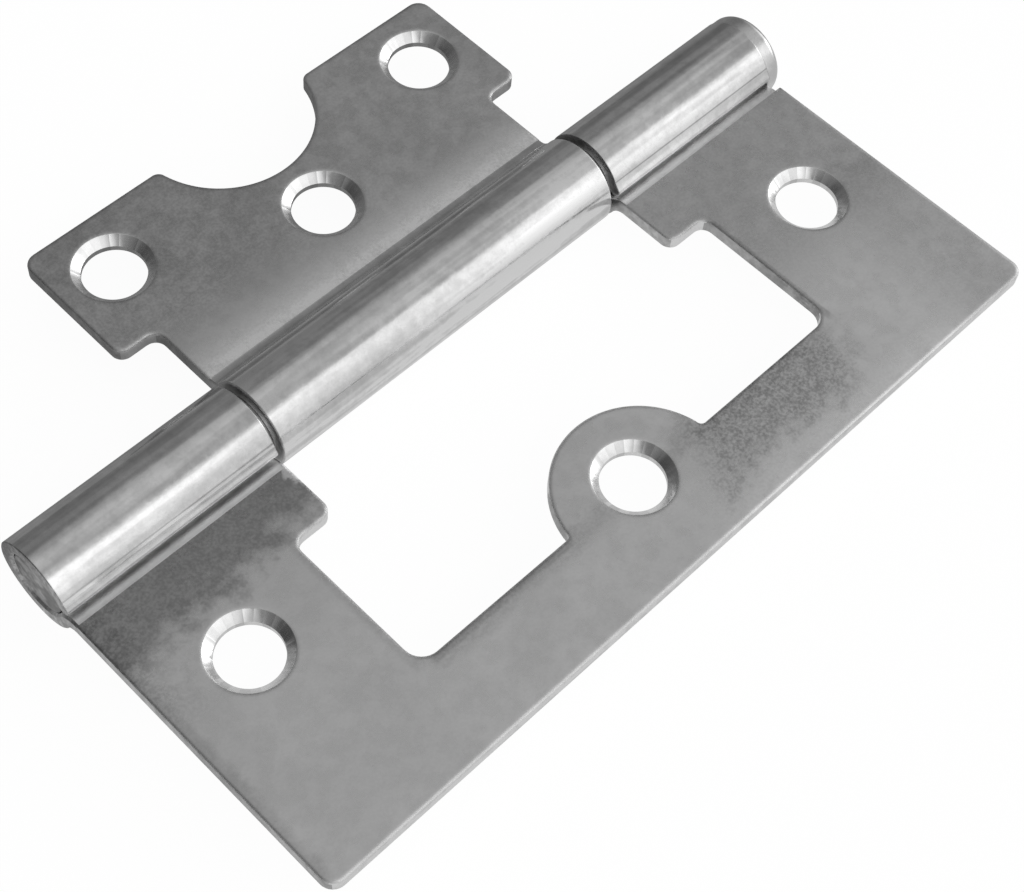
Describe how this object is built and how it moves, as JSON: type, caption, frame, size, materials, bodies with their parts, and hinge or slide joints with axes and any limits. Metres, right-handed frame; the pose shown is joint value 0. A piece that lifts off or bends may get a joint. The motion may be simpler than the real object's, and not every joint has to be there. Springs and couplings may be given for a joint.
{
  "type": "flush hinge",
  "caption": "Flush hinge of folded sheet steel: a T-shaped inner leaf nests in the stepped window of the outer leaf, round a lobe that carries a screw.",
  "frame": {"origin": "on the pin's axis, at the middle of the outer leaf's length", "axes": "+X along the pin, towards its head; +Y towards the inner leaf when the hinge lies open flat; +Z out of the faces that the screws go in from"},
  "size_m": [0.0773, 0.0543, 0.0078],
  "materials": {
    "outer_leaf": "semi-gloss zinc plating, faintly mottled",
    "inner_leaf": "semi-gloss zinc plating, faintly mottled",
    "hinge_pin": "bright zinc plating"
  },
  "bodies": {
    "outer": {"outer_leaf": "outer_leaf", "hinge_pin": "hinge_pin"},
    "inner": {"inner_leaf": "inner_leaf"}
  },
  "joints": [
    {"name": "leaf_swing", "type": "hinge", "parent": "outer", "child": "inner", "pos_m": [0, 0, 0], "axis": [1, 0, 0], "continuous": true}
  ]
}
